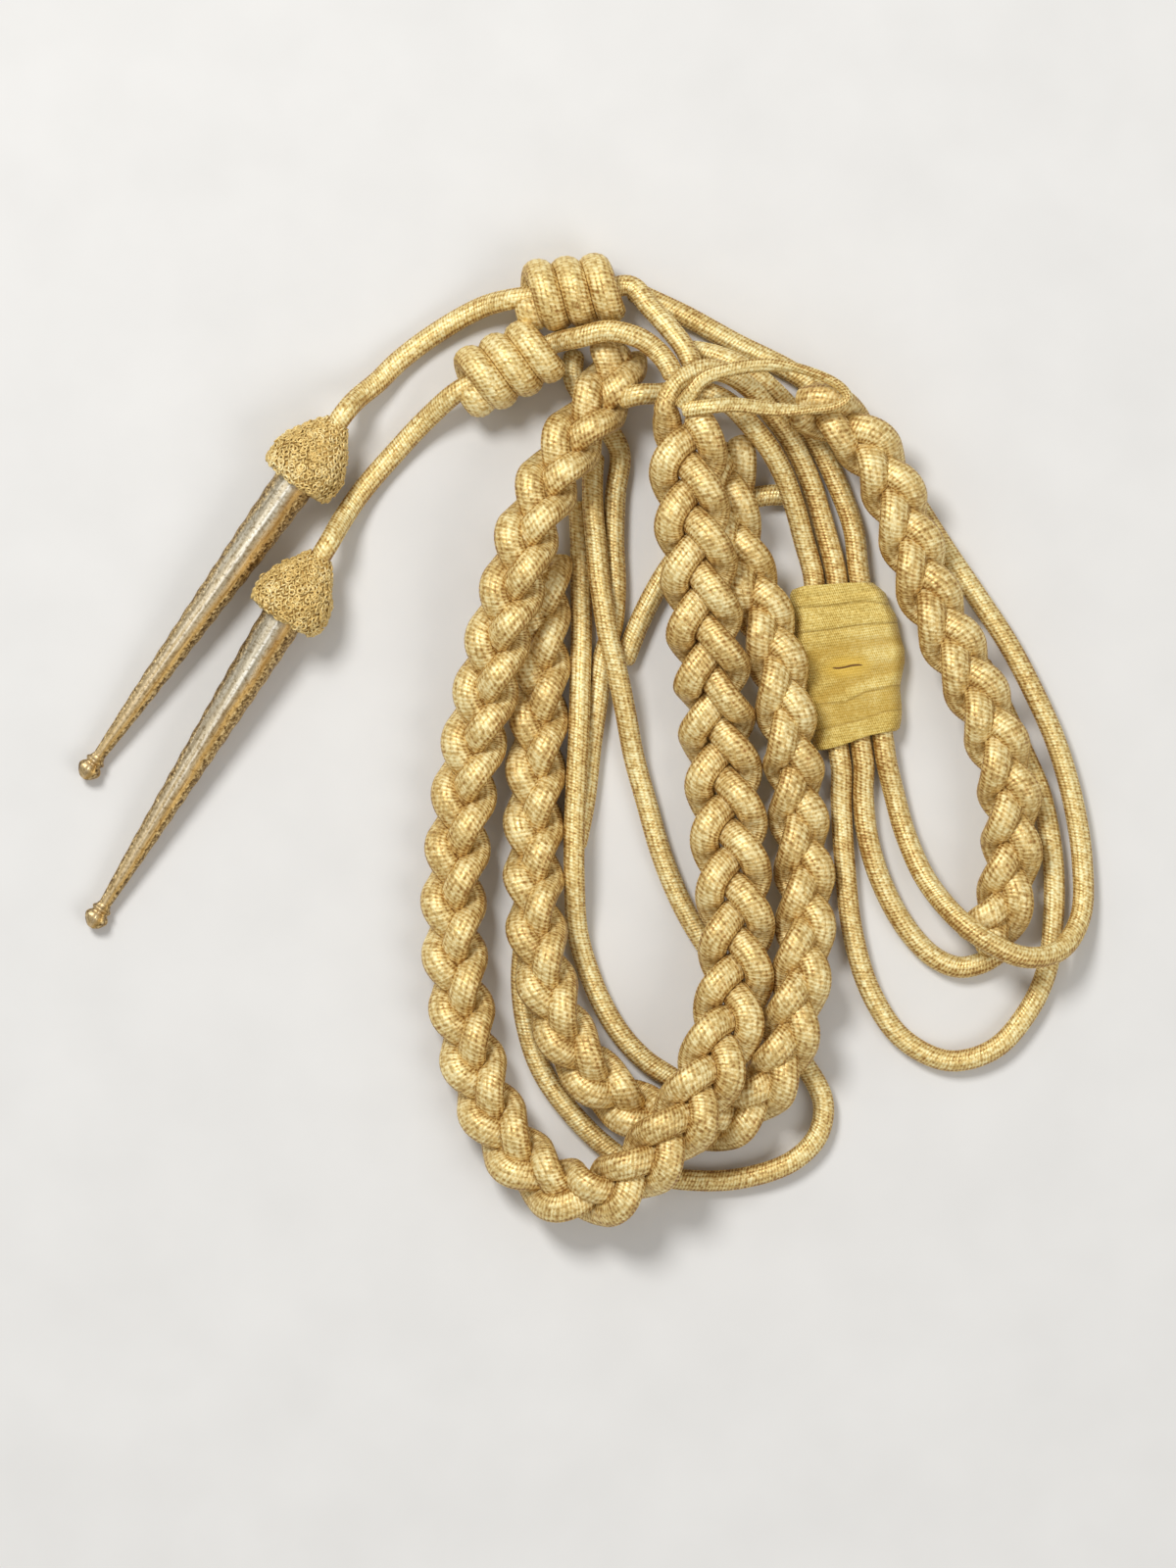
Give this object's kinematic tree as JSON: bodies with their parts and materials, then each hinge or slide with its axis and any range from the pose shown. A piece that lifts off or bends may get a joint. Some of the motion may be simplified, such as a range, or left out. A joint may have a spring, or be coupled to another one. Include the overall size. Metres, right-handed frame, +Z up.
{
  "type": "aiguillette",
  "caption": "Gilt shoulder cord of dress uniform: plaited and plain braid cords, netted caps with tapered metal tags, and a tab with a buttonhole.",
  "frame": {"origin": "middle of the whole part's footprint, on the table that it lies on", "axes": "+Z up from the table, +Y towards the end that is sewn to the shoulder, +X to the right seen from above"},
  "size_m": [0.2486, 0.2378, 0.0294],
  "materials": {
    "gold_cord": "gilt thread braid",
    "gold_plait": "gilt thread braid",
    "gold_tape": "woven gilt tape",
    "cap_net": "netted gilt thread",
    "tag_metal": "worn, engraved"
  },
  "bodies": {
    "root": {"main_plait_strand_1": "gold_plait", "main_plait_strand_2": "gold_plait", "main_plait_strand_3": "gold_plait", "inner_plait_strand_1": "gold_plait", "inner_plait_strand_2": "gold_plait", "inner_plait_strand_3": "gold_plait", "side_plait_strand_1": "gold_plait", "side_plait_strand_2": "gold_plait", "side_plait_strand_3": "gold_plait", "tag_a": "tag_metal", "tag_b": "tag_metal", "cap_a": "cap_net", "cap_b": "cap_net", "knot_a": "gold_cord", "knot_b": "gold_cord", "tag_cord_a": "gold_cord", "tag_cord_b": "gold_cord", "outer_loop": "gold_cord", "middle_loop": "gold_cord", "lower_loop": "gold_cord", "inner_cord_long": "gold_cord", "inner_cord_left": "gold_cord", "inner_cord_short": "gold_cord", "under_cord": "gold_cord", "button_tab": "gold_tape", "tape_loop": "gold_tape"}
  },
  "joints": []
}
